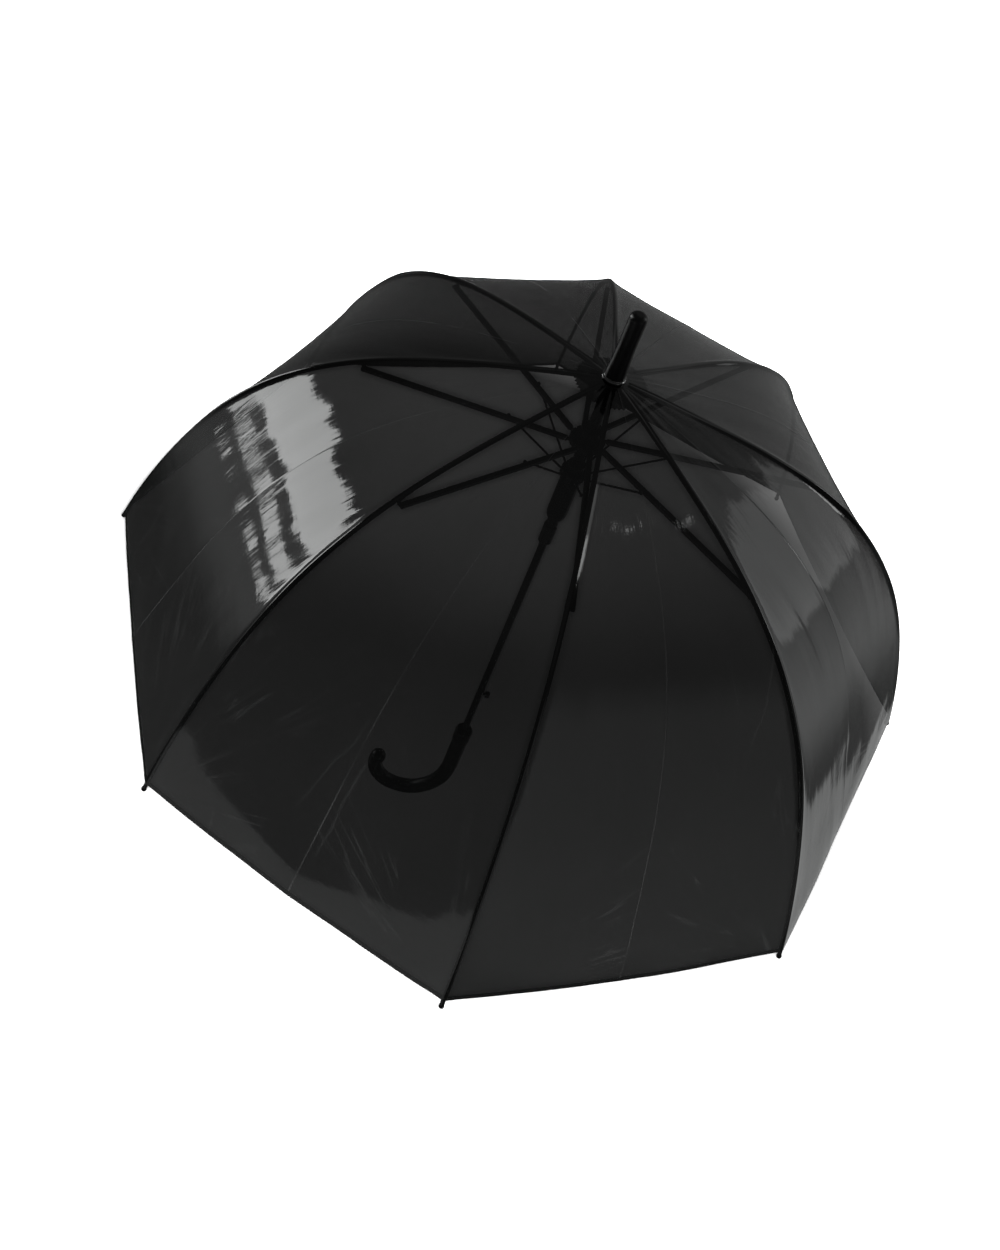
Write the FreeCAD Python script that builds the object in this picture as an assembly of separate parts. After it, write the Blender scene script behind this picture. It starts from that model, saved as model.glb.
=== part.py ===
import FreeCAD, Part
import math
import os

# Auto-open dome stick umbrella, modelled open.
# Row frame: +Z runs up the shaft to the ferrule, +X points to rib 0 and to the open side of the crook.
# The origin is on the shaft axis at the middle of the straight grip.
# Everything below is laid out from the crown hinge plane and moved up by CROWN_Z when it is written.

V = FreeCAD.Vector

# ---- driving dimensions, mm -------------------------------------------------
CROWN_Z = 635.0            # crown hinge plane above the origin
N_RIBS = 8
RIB_STEP = 360.0 / N_RIBS

# rib line: equal arcs between the headings below (degrees under the horizontal)
RIB_HINGE_R = 13.0
RIB_LENGTH = 584.0
RIB_HEADINGS = [10.4, 11.4, 12.6, 14.2, 16.8, 20.9, 26.6, 33.5, 40.8,
                47.6, 53.3, 57.9, 61.4, 64.2, 66.5, 68.6, 70.6]
RIB_ROD_R = 1.75
CLIP_S = 206.2             # arc length from the crown hinge to the clip
CLIP_DROP = 3.5            # stretcher end below the rib line
WIRE_R = 0.55              # hinge wire
EYE_HOLE_R = 0.60

# stretcher and link
UPPER_PIVOT = (14.0, -71.0)
LOWER_PIVOT = (10.0, -113.0)
STRETCHER_Y = 4.6          # sideways place of the stretcher beside the rib
STRETCHER_W = 4.6
STRETCHER_H = 3.2
STRETCHER_WALL = 0.5
LINK_AT = 0.309            # share of the stretcher's length where the link joins
LINK_Y = 0.8
LINK_R = 1.0

# tube
SHAFT_R = 4.0
SHAFT_BORE_R = 3.4
SHAFT_TOP = 20.0
SHAFT_BOTTOM = -640.0
BORE_R = 4.05              # running bores on the tube

# film
FILM_OFF_IN = 2.55         # film's inner face above the rib line
FILM_T = 0.2 
FILM_S0 = 6.5
FILM_S1 = 575.0
FILM_GAP = 0.2             # half of the gap between neighbouring sectors
SEAM_GAP = 0.04            # from the weld plane over the rib to each half panel
FILM_SAG = 0.014           # the panels draw in a little between the ribs

# rosette
ROSETTE_R = 33.0
ROSETTE_HOLE_R = 8.5
ROSETTE_OFF = 2.42
ROSETTE_T = 0.3

# ferrule
FERRULE_R = 7.8

# button
BUTTON_Z = -494.0
BUTTON_TRAVEL = 2.2

# handle
COLLAR_R = 10.7
COLLAR_TOP = -578.0
COLLAR_BOTTOM = -600.0
CROOK_TOP = -588.0
CROOK_R = 9.6
CROOK_RUNS = [(70.0, 0.0), (34.0, 10.0), (52.0, 35.0), (66.0, 100.0), (44.0, 50.0)]  # length, turn in degrees

os.makedirs("parts", exist_ok=True)


def save(name, shape, k=0):
    s = shape.copy()
    s.rotate(V(0, 0, 0), V(0, 0, 1), RIB_STEP * k)
    s.translate(V(0, 0, CROWN_Z))
    if not s.isValid():
        print("NOT VALID", name)
    if len(s.Solids) != (2 if name.startswith("canopy") else 1):
        print("solids", name, len(s.Solids))
    s.exportStep("parts/%s.step" % name)


def cyl(r, z0, z1, x=0.0, y=0.0):
    return Part.makeCylinder(r, z1 - z0, V(x, y, z0))


def ycyl(r, x, z, y0, y1):
    return Part.makeCylinder(r, y1 - y0, V(x, y0, z), V(0, 1, 0))


def box(x0, x1, y0, y1, z0, z1):
    return Part.makeBox(x1 - x0, y1 - y0, z1 - z0, V(x0, y0, z0))


def revolve(profile):
    """Closed (r, z) outline turned about the shaft axis."""
    pts = [V(r, 0, z) for r, z in profile]
    w = Part.makePolygon(pts + [pts[0]])
    return Part.Face(w).revolve(V(0, 0, 0), V(0, 0, 1), 360)


def fuse(shapes):
    s = shapes[0].fuse(shapes[1:]) if len(shapes) > 1 else shapes[0]
    s = s.removeSplitter()
    return s.Solids[0] if len(s.Solids) == 1 else s


# ---- rib line ----------------------------------------------------------------
ARC = RIB_LENGTH / (len(RIB_HEADINGS) - 1)


def rib_nodes():
    p = [(RIB_HINGE_R, 0.0)]
    for a, b in zip(RIB_HEADINGS[:-1], RIB_HEADINGS[1:]):
        a, b = math.radians(a), math.radians(b)
        h = (b - a) / 2
        c = ARC * math.sin(h) / h
        p.append((p[-1][0] + c * math.cos((a + b) / 2), p[-1][1] - c * math.sin((a + b) / 2)))
    return p


RIB_NODES = rib_nodes()


def rib(s, off=0.0):
    """Point (r, z) and heading at arc length s, moved off outwards from the rib line."""
    n = len(RIB_HEADINGS) - 1
    i = min(max(int(s / ARC), 0), n - 1)
    a, b = math.radians(RIB_HEADINGS[i]), math.radians(RIB_HEADINGS[i + 1])
    d = s - i * ARC
    kappa = (b - a) / ARC
    th = a + kappa * d
    m = a + kappa * d / 2
    h = kappa * d / 2
    c = d * (math.sin(h) / h if abs(h) > 1e-9 else 1.0)
    r = RIB_NODES[i][0] + c * math.cos(m) + off * math.sin(th)
    z = RIB_NODES[i][1] - c * math.sin(m) + off * math.cos(th)
    return r, z, th


def rib_wire(s0, s1):
    cuts = [s0] + [i * ARC for i in range(1, len(RIB_HEADINGS) - 1) if s0 + 0.5 < i * ARC < s1 - 0.5] + [s1]
    edges = []
    for a, b in zip(cuts[:-1], cuts[1:]):
        pts = []
        for s in (a, (a + b) / 2, b):
            r, z, th = rib(s)
            pts.append(V(r, 0, z))
        edges.append(Part.Arc(*pts).toShape())
    return Part.Wire(edges)


def rod(s0, s1, radius):
    r, z, th = rib(s0)
    c = Part.Wire(Part.makeCircle(radius, V(r, 0, z), V(math.cos(th), 0, -math.sin(th))))
    return rib_wire(s0, s1).makePipeShell([c], True, False).Solids[0] \
        if hasattr(rib_wire(s0, s1), "makePipeShell") else None


def along(p, q, shape):
    """Puts a shape built along +X from the origin onto the line p to q in the XZ plane."""
    a = math.degrees(math.atan2(q[1] - p[1], q[0] - p[0]))
    s = shape.copy()
    s.rotate(V(0, 0, 0), V(0, 1, 0), -a)
    s.translate(V(p[0], 0, p[1]))
    return s


# ---- mechanism points ----------------------------------------------------------
CX, CZ, CTH = rib(CLIP_S)
BX, BZ = CX - CLIP_DROP * math.sin(CTH), CZ - CLIP_DROP * math.cos(CTH)
STRETCHER_L = math.hypot(BX - UPPER_PIVOT[0], BZ - UPPER_PIVOT[1])
JX = UPPER_PIVOT[0] + LINK_AT * (BX - UPPER_PIVOT[0])
JZ = UPPER_PIVOT[1] + LINK_AT * (BZ - UPPER_PIVOT[1])
LINK_L = math.hypot(JX - LOWER_PIVOT[0], JZ - LOWER_PIVOT[1])

# ---- tube ------------------------------------------------------------------------
tube = cyl(SHAFT_R, SHAFT_BOTTOM, SHAFT_TOP).cut(cyl(SHAFT_BORE_R, SHAFT_BOTTOM - 1, SHAFT_TOP + 1))
window = Part.makeCylinder(1.6, 6, V(-6, 0, BUTTON_Z), V(1, 0, 0))
save("shaft_tube", tube.cut(window))

# ---- ferrule: seat, shiny bead at the base, flared body, cylindrical end with a dome ----
fer = [(SHAFT_R, 1.2), (7.5, 1.2), (7.5, 4.1), (9.0, 4.1), (9.3, 4.5), (10.1, 4.6), (10.6, 4.9), (10.8, 5.5),
       (10.8, 6.3), (10.6, 6.9), (10.1, 7.3), (9.5, 7.5), (9.35, 8.0), (9.3, 9.5), (9.0, 14.0), (8.6, 20.0), (8.2, 27.0),
       (7.9, 34.0), (FERRULE_R, 38.0), (FERRULE_R, 68.0)]
for a in range(10, 90, 10):
    fer.append((FERRULE_R - 5.0 + 5.0 * math.cos(math.radians(a)), 68.0 + 5.0 * math.sin(math.radians(a))))
fer += [(FERRULE_R - 5.0, 73.0), (0.0, 73.0), (0.0, SHAFT_TOP + 0.2), (SHAFT_R, SHAFT_TOP + 0.2)]
save("ferrule", revolve(fer))

# ---- notch: slotted disc on a long neck sleeve, with a groove for the hinge wire ------


def octagon(apothem, z0, z1):
    R = apothem / math.cos(math.radians(RIB_STEP / 2))
    pts = [V(R * math.cos(math.radians(RIB_STEP * (i + 0.5))), R * math.sin(math.radians(RIB_STEP * (i + 0.5))), z0)
           for i in range(N_RIBS)]
    return Part.Face(Part.makePolygon(pts + [pts[0]])).extrude(V(0, 0, z1 - z0))


def around(shape):
    out = []
    for k in range(N_RIBS):
        s = shape.copy()
        s.rotate(V(0, 0, 0), V(0, 0, 1), RIB_STEP * k)
        out.append(s)
    return out


notch = revolve([(SHAFT_R, 1.2), (14.4, 1.2), (15.0, 0.8), (15.0, -3.4), (14.2, -4.4), (9.0, -4.4), (7.2, -7.5),
                 (5.15, -9.0), (5.15, -54.3), (SHAFT_R, -54.3)])
groove = cyl(20, -0.62, 0.62).cut(octagon(RIB_HINGE_R - 0.62, -1, 1))
notch = notch.cut(groove)
notch = notch.cut(around(box(10.6, 20, -2.15, 2.15, -6, 3))[0].fuse(around(box(10.6, 20, -2.15, 2.15, -6, 3))[1:]))
save("top_notch", notch)

R_RING = RIB_HINGE_R / math.cos(math.radians(RIB_STEP / 2))
ring = []
for k in range(N_RIBS):
    a0, a1 = math.radians(RIB_STEP * (k - 0.5)), math.radians(RIB_STEP * (k + 0.5))
    p0, p1 = V(R_RING * math.cos(a0), R_RING * math.sin(a0), 0), V(R_RING * math.cos(a1), R_RING * math.sin(a1), 0)
    ring.append(Part.makeCylinder(WIRE_R, p1.sub(p0).Length, p0, p1.sub(p0)))
    ring.append(Part.makeSphere(WIRE_R, p0))
save("notch_wire", fuse(ring))

# ---- rosette: eight-sided cone frustum shell under the film ---------------------------


def ngon(r, z):
    pts = [V(r * math.cos(math.radians(RIB_STEP * i)), r * math.sin(math.radians(RIB_STEP * i)), z)
           for i in range(N_RIBS)]
    return Part.makePolygon(pts + [pts[0]])


def crown_z(r):
    return -(r - RIB_HINGE_R) * math.tan(math.radians(10.9))


zb0, zb1 = crown_z(ROSETTE_HOLE_R) + ROSETTE_OFF, crown_z(ROSETTE_R) + ROSETTE_OFF
lo = Part.makeLoft([ngon(ROSETTE_HOLE_R, zb0), ngon(ROSETTE_R, zb1)], False, True)
hi = Part.makeLoft([ngon(ROSETTE_HOLE_R, zb0 + ROSETTE_T), ngon(ROSETTE_R, zb1 + ROSETTE_T)], False, True)
hole = Part.makeLoft([ngon(ROSETTE_HOLE_R, zb0), ngon(ROSETTE_HOLE_R, zb0 + ROSETTE_T)], False, True)
rim = Part.makeLoft([ngon(ROSETTE_R, zb1), ngon(ROSETTE_R, zb1 + ROSETTE_T)], False, True)
shell = Part.makeShell(lo.Faces + hi.Faces + hole.Faces + rim.Faces)
shell.sewShape()
save("rosette", Part.makeSolid(shell))

# ---- inner rib: eye on the notch wire, rod, clip sleeve with two cheeks and a rivet ------
inner = [rod(0.0, CLIP_S - 4.6, RIB_ROD_R), ycyl(1.9, RIB_HINGE_R, 0, -1.65, 1.65)]
r0, z0, t0 = rib(CLIP_S - 15.0)
r1, z1, t1 = rib(CLIP_S - 4.6)
sleeve = along((r0, z0), (r1, z1), Part.makeCylinder(1.95, math.hypot(r1 - r0, z1 - z0), V(0, 0, 0), V(1, 0, 0)))
cheeks = []
for y0, y1 in ((-1.85, -1.2), (1.2, 1.75)):
    cheeks.append(along((CX, CZ), (CX + math.cos(CTH), CZ - math.sin(CTH)), box(-6.5, 0, y0, y1, -1.8, 1.8)))
    cheeks.append(ycyl(1.8, CX, CZ, y0, y1))
lug = along((CX, CZ), (CX + math.cos(CTH), CZ - math.sin(CTH)), box(-2.2, 1.4, 1.2, 1.75, -CLIP_DROP, 0))
boss = ycyl(1.9, BX, BZ, 1.2, 1.75)
rivet = ycyl(0.8, CX, CZ, -1.85, 1.75)
eye_hole = ycyl(EYE_HOLE_R, RIB_HINGE_R, 0, -3, 3)
rib_inner = fuse(inner + [sleeve] + cheeks + [lug, boss, rivet]).cut(eye_hole)

# ---- outer rib: eye between the cheeks, tongue, rod, spigot for the tip cap --------------
S_CAP = RIB_LENGTH - 12.0
tongue = along((CX, CZ), rib(CLIP_S + 6.0)[:2], box(0, 6.0, -0.8, 0.8, -1.4, 1.4))
rc, zc, tc = rib(S_CAP)
tip_dir = V(math.cos(tc), 0, -math.sin(tc))
spigot = Part.makeCylinder(1.2, 7.0, V(rc, 0, zc) - tip_dir * 0.5, tip_dir)
rib_outer = fuse([ycyl(1.7, CX, CZ, -0.8, 0.8), tongue, rod(CLIP_S + 2.7, S_CAP, RIB_ROD_R), spigot])
rib_outer = rib_outer.cut(ycyl(0.85, CX, CZ, -3, 3))

cap = Part.makeCylinder(2.0, 12.0, V(rc, 0, zc), tip_dir)
ball = Part.makeSphere(2.6, V(rc, 0, zc) + tip_dir * 12.0)
cap = fuse([cap, ball]).cut(Part.makeCylinder(1.2, 6.6, V(rc, 0, zc) - tip_dir * 0.1, tip_dir))

# ---- stretcher: channel open below, solid lug at the runner end, eye at the clip end -------
w, h, t, L = STRETCHER_W / 2, STRETCHER_H / 2, STRETCHER_WALL, STRETCHER_L
chan = box(4.5, L - 1.0, -w, w, -h, h).cut(box(4.0, L + 1, -w + t, w - t, -h - 1, h - t))
parts = [chan, box(3.9, 10, -w + t, w - t, -h + 0.3, h), box(0, 6, -1.2, 1.2, -1.3, 1.3), ycyl(1.7, 0, 0, -1.2, 1.2),
         box(L - 9, L - 0.4, -w + t, w - t, -h + 0.3, h), ycyl(1.8, L, 0, -w, w)]
st = fuse(parts).cut([ycyl(EYE_HOLE_R, 0, 0, -4, 4), ycyl(0.9, L, 0, -4, 4)])
stretcher = along(UPPER_PIVOT, (BX, BZ), st)
stretcher.translate(V(0, STRETCHER_Y, 0))

# ---- link: wire with a flattened eye at each end -----------------------------------------
lk = fuse([Part.makeCylinder(LINK_R, LINK_L, V(0, 0, 0), V(1, 0, 0)), ycyl(1.5, 0, 0, -0.9, 0.9),
           ycyl(1.6, LINK_L, 0, -0.9, 0.9)])
lk = lk.cut([ycyl(EYE_HOLE_R, 0, 0, -3, 3), ycyl(0.7, LINK_L, 0, -3, 3)])
link = along(LOWER_PIVOT, (JX, JZ), lk)
link.translate(V(0, LINK_Y, 0))

# ---- runners ----------------------------------------------------------------------------
ux, uz = UPPER_PIVOT
upper = revolve([(BORE_R, uz + 16), (9.3, uz + 16), (10.0, uz + 15.2), (10.0, uz + 3.0), (16.0, uz + 3.0), (16.5, uz + 2.5),
                 (16.5, uz - 2.5), (16.0, uz - 3.0), (10.0, uz - 3.0), (10.0, uz - 4.5), (6.2, uz - 4.9),
                 (6.2, uz - 13.0), (BORE_R, uz - 13.0)])
slots = around(box(ux - 2.2, 22, STRETCHER_Y - 1.6, STRETCHER_Y + 1.6, uz - 3.5, uz + 3.5)) \
    + around(box(8.8, 22, LINK_Y - 1.4, LINK_Y + 1.4, uz - 6, uz + 3.5))
upper = upper.cut(slots)
upper = fuse([upper] + around(ycyl(WIRE_R, ux, uz, STRETCHER_Y - 1.9, STRETCHER_Y + 1.9)))
save("upper_runner", upper)

lx, lz = LOWER_PIVOT
lower = revolve([(6.6, lz + 12.5), (7.9, lz + 12.5), (8.3, lz + 12.0), (8.3, lz + 4.6), (12.2, lz + 4.2), (12.6, lz + 3.6),
                 (12.6, lz - 3.6), (12.2, lz - 4.2), (10.0, lz - 5.5), (10.0, -168.0), (9.0, -173.0), (5.5, -176.0),
                 (5.5, -186.6), (6.4, -187.0), (7.0, -187.8), (7.0, -211.0), (6.2, -212.0), (BORE_R, -212.0),
                 (BORE_R, -150.0), (6.6, -150.0)])
lower = lower.cut(around(box(8.0, 16, LINK_Y - 1.4, LINK_Y + 1.4, lz - 4.4, lz + 5.0)))
lower = lower.cut(box(-12, 0, -3.1, 3.1, -213, -182))
lower = fuse([lower] + around(ycyl(WIRE_R, lx, lz, LINK_Y - 1.7, LINK_Y + 1.7)))
save("lower_runner", lower)

# ---- opening spring: coil between the runners, seated in the lower runner -----------------
SPRING_R, SPRING_WIRE, SPRING_Z0, SPRING_Z1, SPRING_TURNS = 5.35, 0.55, -150.0, -84.0, 11.0
hz = SPRING_Z1 - SPRING_Z0 - 2 * SPRING_WIRE - 0.2
helix = Part.makeHelix(hz / SPRING_TURNS, hz, SPRING_R)
helix.translate(V(0, 0, SPRING_Z0 + SPRING_WIRE + 0.1))
cw = Part.Wire(Part.makeCircle(SPRING_WIRE, V(SPRING_R, 0, SPRING_Z0 + SPRING_WIRE + 0.1), V(0, 1, 0)))
spring = Part.Wire(helix.Edges).makePipeShell([cw], True, True)
save("opening_spring", spring.Solids[0] if spring.Solids else spring)

# ---- release button and its leaf spring ---------------------------------------------------
knob = box(-11.5, -6.5, -2.7, 2.7, BUTTON_Z - 3.5, BUTTON_Z + 3.5)
knob = knob.makeFillet(1.2, [e for e in knob.Edges if e.BoundBox.XMax < -11.4 or e.BoundBox.XLength > 4.9])
stem = Part.makeCylinder(1.5, 5.0, V(-7.0, 0, BUTTON_Z), V(1, 0, 0))
foot = box(-2.9, -1.9, -1.5, 1.5, BUTTON_Z - 4.0, BUTTON_Z + 4.0)
save("release_button", fuse([knob, stem, foot]))

leaf_line = [(-1.85, BUTTON_Z - 4.0), (-1.85, BUTTON_Z + 4.0), (2.75, BUTTON_Z + 34.0), (2.75, BUTTON_Z + 48.0)]
lt = 0.35
leaf_pts = [V(x, -1.2, z) for x, z in leaf_line] + [V(x + lt, -1.2, z) for x, z in reversed(leaf_line)]
leaf = Part.Face(Part.makePolygon(leaf_pts + [leaf_pts[0]])).extrude(V(0, 2.4, 0))
save("button_spring", leaf)

# ---- handle ---------------------------------------------------------------------------
collar = revolve([(SHAFT_R, COLLAR_TOP), (8.8, COLLAR_TOP), (10.0, COLLAR_TOP - 0.8), (COLLAR_R, COLLAR_TOP - 2.4),
                  (COLLAR_R, COLLAR_BOTTOM + 1.6), (10.4, COLLAR_BOTTOM + 0.5), (10.0, COLLAR_BOTTOM),
                  (CROOK_R, COLLAR_BOTTOM), (CROOK_R, CROOK_TOP), (SHAFT_R, CROOK_TOP)])
save("handle_collar", collar)


def crook_wire():
    p, hd, edges = (0.0, CROOK_TOP), 0.0, []
    for length, turn in CROOK_RUNS:
        pts = [p]
        for f in (0.5, 1.0):
            tt = math.radians(turn) * f
            m = math.radians(hd) + tt / 2
            c = length * f * (math.sin(tt / 2) / (tt / 2) if abs(tt) > 1e-9 else 1.0)
            pts.append((p[0] + c * math.sin(m), p[1] - c * math.cos(m)))
        v = [V(x, 0, z) for x, z in pts]
        edges.append(Part.makeLine(v[0], v[2]) if abs(turn) < 1e-9 else Part.Arc(*v).toShape())
        p, hd = pts[2], hd + turn
    return Part.Wire(edges), p, hd


cwire, cend, chd = crook_wire()
prof = Part.Wire(Part.makeCircle(CROOK_R, V(0, 0, CROOK_TOP), V(0, 0, -1)))
crook = cwire.makePipeShell([prof], True, False).Solids[0]
end_ball = Part.makeSphere(CROOK_R, V(cend[0], 0, cend[1]))
crook = crook.fuse(end_ball)
crook = crook.cut(cyl(SHAFT_R, SHAFT_BOTTOM, CROOK_TOP + 1)).Solids[0]
save("handle_crook", crook)
print("crook end", [round(c, 1) for c in cend], "heading", chd, "bottom", round(crook.BoundBox.ZMin, 1),
      "reach", round(crook.BoundBox.XMax, 1))

# ---- film sector: two ruled half panels either side of its rib -----------------------------
HALF = math.radians(RIB_STEP / 2)


def blend(x, a, b):
    u = min(max((x - a) / (b - a), 0.0), 1.0)
    return u * u * (3 - 2 * u)


def film_rib(s, off, side):
    r, z, th = rib(s, off)
    return V(r, side * SEAM_GAP, z)


def film_mid(s, off, side):
    r, z, th = rib(s, off)
    rm = r * (math.cos(HALF) - FILM_SAG * blend(s, 40, 260))
    g = FILM_GAP
    x, y = rm * math.cos(HALF) + g * math.sin(HALF), rm * math.sin(HALF) - g * math.cos(HALF)
    return V(x, side * y, z)


def curve(points):
    b = Part.BSplineCurve()
    b.interpolate(points)
    return b.toShape()


def half_gore(side):
    """Half of the panel on one side of the rib: ruled between the rib line and the panel's middle."""
    n = 26
    ss = [FILM_S0 + (FILM_S1 - FILM_S0) * i / (n - 1) for i in range(n)]
    i0 = [FILM_OFF_IN + 0.85 * (1 - blend(s, 24, 60)) for s in ss]   # the film rides over the rosette
    o0 = [v + FILM_T for v in i0]
    rin, rout = [film_rib(s, v, side) for s, v in zip(ss, i0)], [film_rib(s, v, side) for s, v in zip(ss, o0)]
    mi, mo = [film_mid(s, v, side) for s, v in zip(ss, i0)], [film_mid(s, v, side) for s, v in zip(ss, o0)]
    e_ri, e_ro, e_mi, e_mo = curve(rin), curve(rout), curve(mi), curve(mo)
    faces = [Part.makeRuledSurface(e_ro, e_mo), Part.makeRuledSurface(e_ri, e_mi),
             Part.makeRuledSurface(e_mo, e_mi), Part.makeRuledSurface(e_ro, e_ri)]
    for j in (0, -1):
        faces.append(Part.makeRuledSurface(Part.makeLine(rout[j], mo[j]), Part.makeLine(rin[j], mi[j])))
    sh = Part.makeShell([f for g in faces for f in g.Faces])
    sh.sewShape()
    so = Part.makeSolid(sh)
    if so.Volume < 0:
        so.reverse()
    return so


def sector():
    """The two half panels that meet at the weld over the rib."""
    return Part.makeCompound([half_gore(1), half_gore(-1)])


film = sector()

for k in range(N_RIBS):
    save("rib_inner_%d" % k, rib_inner, k)
    save("rib_outer_%d" % k, rib_outer, k)
    save("tip_cap_%d" % k, cap, k)
    save("stretcher_%d" % k, stretcher, k)
    save("link_%d" % k, link, k)
    save("canopy_sector_%d" % k, film, k)

print("clip", round(CX, 2), round(CZ, 2), "stretcher", round(STRETCHER_L, 2), "link", round(LINK_L, 2),
      "J", round(JX, 1), round(JZ, 1))
for nm, s in (("rib_inner", rib_inner), ("rib_outer", rib_outer), ("cap", cap), ("stretcher", stretcher),
              ("link", link), ("film", film), ("spring", spring)):
    print(nm, s.isValid(), len(s.Solids), round(s.Volume, 1))
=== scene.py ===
import math

import bmesh
import bpy
import numpy as np
from mathutils import Matrix, Vector


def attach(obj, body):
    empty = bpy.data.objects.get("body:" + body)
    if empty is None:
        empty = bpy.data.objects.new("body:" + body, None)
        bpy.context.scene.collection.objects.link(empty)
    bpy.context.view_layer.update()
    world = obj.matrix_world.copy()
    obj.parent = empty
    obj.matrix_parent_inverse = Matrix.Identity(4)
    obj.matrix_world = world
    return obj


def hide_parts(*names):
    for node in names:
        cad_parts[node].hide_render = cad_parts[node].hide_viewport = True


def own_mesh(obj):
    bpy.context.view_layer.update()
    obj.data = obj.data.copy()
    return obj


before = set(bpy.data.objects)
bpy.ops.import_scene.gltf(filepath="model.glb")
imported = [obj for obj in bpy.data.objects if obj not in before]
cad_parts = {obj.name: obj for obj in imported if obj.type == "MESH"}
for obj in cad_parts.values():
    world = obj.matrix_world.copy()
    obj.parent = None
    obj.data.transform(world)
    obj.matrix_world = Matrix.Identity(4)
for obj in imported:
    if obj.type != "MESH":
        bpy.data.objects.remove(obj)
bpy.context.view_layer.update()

ZC = 0.635                      # crown hinge plane in the row frame, metres
N = 8
STEP = math.radians(45.0)
HALF = STEP / 2
rng = np.random.default_rng(11)

# ------------------------------------------------------------------ rib line (mm, crown frame)
RIB_HINGE_R = 13.0
RIB_LENGTH = 584.0
CLIP_S = 206.2
FILM_S1 = 575.0
HEAD = np.radians([10.4, 11.4, 12.6, 14.2, 16.8, 20.9, 26.6, 33.5, 40.8,
                   47.6, 53.3, 57.9, 61.4, 64.2, 66.5, 68.6, 70.6])
ARC = RIB_LENGTH / 16
_K = (HEAD[1:] - HEAD[:-1]) / ARC
_NR, _NZ = [RIB_HINGE_R], [0.0]
for _a, _b in zip(HEAD[:-1], HEAD[1:]):
    _h = (_b - _a) / 2
    _c = ARC * math.sin(_h) / _h
    _NR.append(_NR[-1] + _c * math.cos((_a + _b) / 2))
    _NZ.append(_NZ[-1] - _c * math.sin((_a + _b) / 2))
_NR, _NZ = np.array(_NR), np.array(_NZ)


def rib(s):
    """r, z, heading at arc length s (arrays)."""
    s = np.asarray(s, float)
    i = np.clip((s / ARC).astype(int), 0, 15)
    d = s - i * ARC
    k = _K[i]
    th = HEAD[i] + k * d
    m = HEAD[i] + k * d / 2
    c = d * np.sinc(k * d / 2 / np.pi)
    return _NR[i] + c * np.cos(m), _NZ[i] - c * np.sin(m), th


def blend(x, a, b):
    u = np.clip((np.asarray(x, float) - a) / (b - a), 0, 1)
    return u * u * (3 - 2 * u)


# ------------------------------------------------------------------ small smooth noise, seeded
class Noise2:
    def __init__(self, seed, n=64):
        r = np.random.default_rng(seed)
        self.g = r.uniform(-1, 1, (n, n))
        self.n = n

    def __call__(self, x, y):
        x, y = np.asarray(x, float), np.asarray(y, float)
        xi, yi = np.floor(x).astype(int), np.floor(y).astype(int)
        fx, fy = x - xi, y - yi
        fx, fy = fx * fx * (3 - 2 * fx), fy * fy * (3 - 2 * fy)
        n, g = self.n, self.g
        a = g[xi % n, yi % n] * (1 - fx) + g[(xi + 1) % n, yi % n] * fx
        b = g[xi % n, (yi + 1) % n] * (1 - fx) + g[(xi + 1) % n, (yi + 1) % n] * fx
        return a * (1 - fy) + b * fy


NOISE = [[Noise2(100 + 10 * k + j) for j in range(5)] for k in range(N)]
PHASE = rng.uniform(0, 2 * math.pi, (N, 12))

# ------------------------------------------------------------------ the film surface (metres out)
SAG = 0.014
RIDGE = 2.0
TENT = 1.5
HEM_BOW = 8.0      # the gores' lower edges are cut a little convex


def panel_lift(k, s, v, width):
    """Film displacement along the panel's outward normal, mm. Zero at the ribs."""
    c = 4 * v * (1 - v)
    edge = np.clip(np.minimum(v, 1 - v) * width / 14.0, 0, 1)
    edge = edge * edge * (3 - 2 * edge)
    x = (v - 0.5) * width                       # mm across from the panel's middle
    n0, n1, n2, n3, n4 = NOISE[k]
    # broad slack of the film
    out = 0.9 * n0(x / 70.0 + 20, s / 120.0) * c
    # long meridional streaks
    out += 0.17 * n1(x / 17.0 + 30, s / 140.0) * edge
    out += 0.05 * n2(x / 8.0 + 30, s / 60.0) * edge
    # short ripples that run across the panel
    out += 0.05 * n3(x / 34.0 + 15, s / 11.0) * edge * np.clip(0.35 + 1.3 * n4(x / 60.0 + 11, s / 60.0), 0.12, 1)
    # slack diagonal pulls towards the hem corners
    hemw = blend(s, 430, 570)
    out += 0.20 * hemw * edge * np.sin((np.abs(x) * 0.7 + s) / 13.0 + PHASE[k, 1] + 1.5 * n3(x / 60 + 9, s / 90))
    # gathers round the crown, dying out over the shoulder
    crown = (1 - blend(s, 25, 110))
    out += 0.09 * crown * edge * np.sin(v * 2 * math.pi * 4 + PHASE[k, 2] + 1.3 * n4(v * 3 + 4, s / 50.0))
    shoulder = blend(s, 50, 120) * (1 - blend(s, 230, 330))
    out += 0.22 * shoulder * edge * n4(s / 90.0 + 3, 5.0) * np.sin(x / 7.5 + PHASE[k, 3] + 2.2 * n3(x / 50 + 21, s / 80.0))
    # packing crease down the middle
    mid = np.exp(-np.abs(x) / 2.2) * blend(s, 30, 90)
    out += 0.16 * mid * (0.55 + 0.45 * n1(3.1, s / 35.0))
    return out


def film_off(s):
    return 2.65 + 0.85 * (1 - blend(s, 24, 60))


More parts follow.
